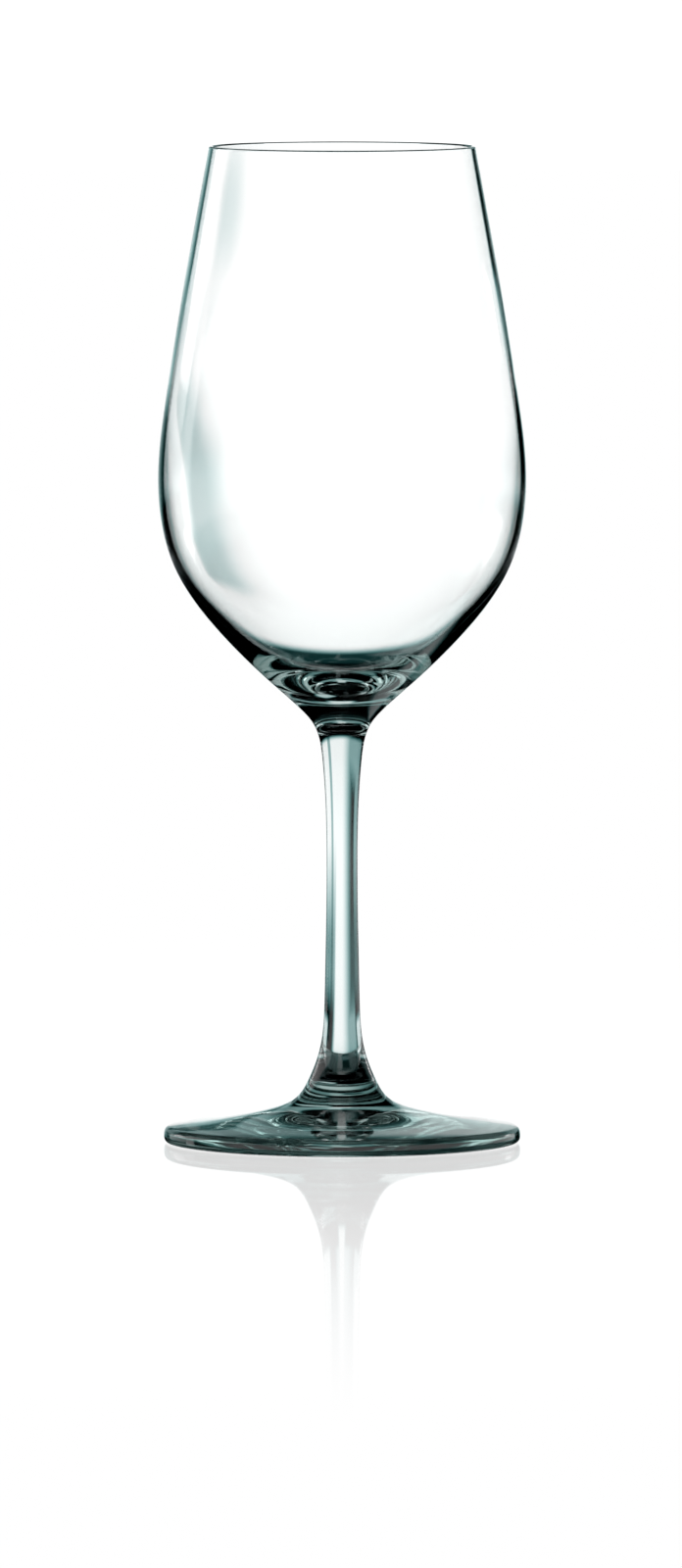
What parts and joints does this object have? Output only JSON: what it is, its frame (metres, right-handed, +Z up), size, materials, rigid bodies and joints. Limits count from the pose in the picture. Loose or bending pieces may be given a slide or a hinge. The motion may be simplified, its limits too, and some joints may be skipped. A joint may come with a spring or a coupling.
{
  "type": "wine glass",
  "caption": "Clear stemmed wine glass: thin-walled tulip bowl narrowing to the lip, slim solid stem flared at both ends, round low-cone foot with a rounded edge.",
  "frame": {"origin": "on the table, under the middle of the foot", "axes": "+Z up along the glass's axis, from the foot to the lip; X and Y are alike, because every piece is turned about Z"},
  "size_m": [0.083, 0.083, 0.225],
  "materials": {
    "bowl_glass": "clear, fire-polished, very slightly blue-green in the thick heel",
    "stem_glass": "clear, fire-polished, very slightly blue-green",
    "foot_glass": "clear, fire-polished, very slightly blue-green at the thick edge"
  },
  "bodies": {
    "root": {"bowl": "bowl_glass", "stem": "stem_glass", "foot": "foot_glass"}
  },
  "joints": []
}
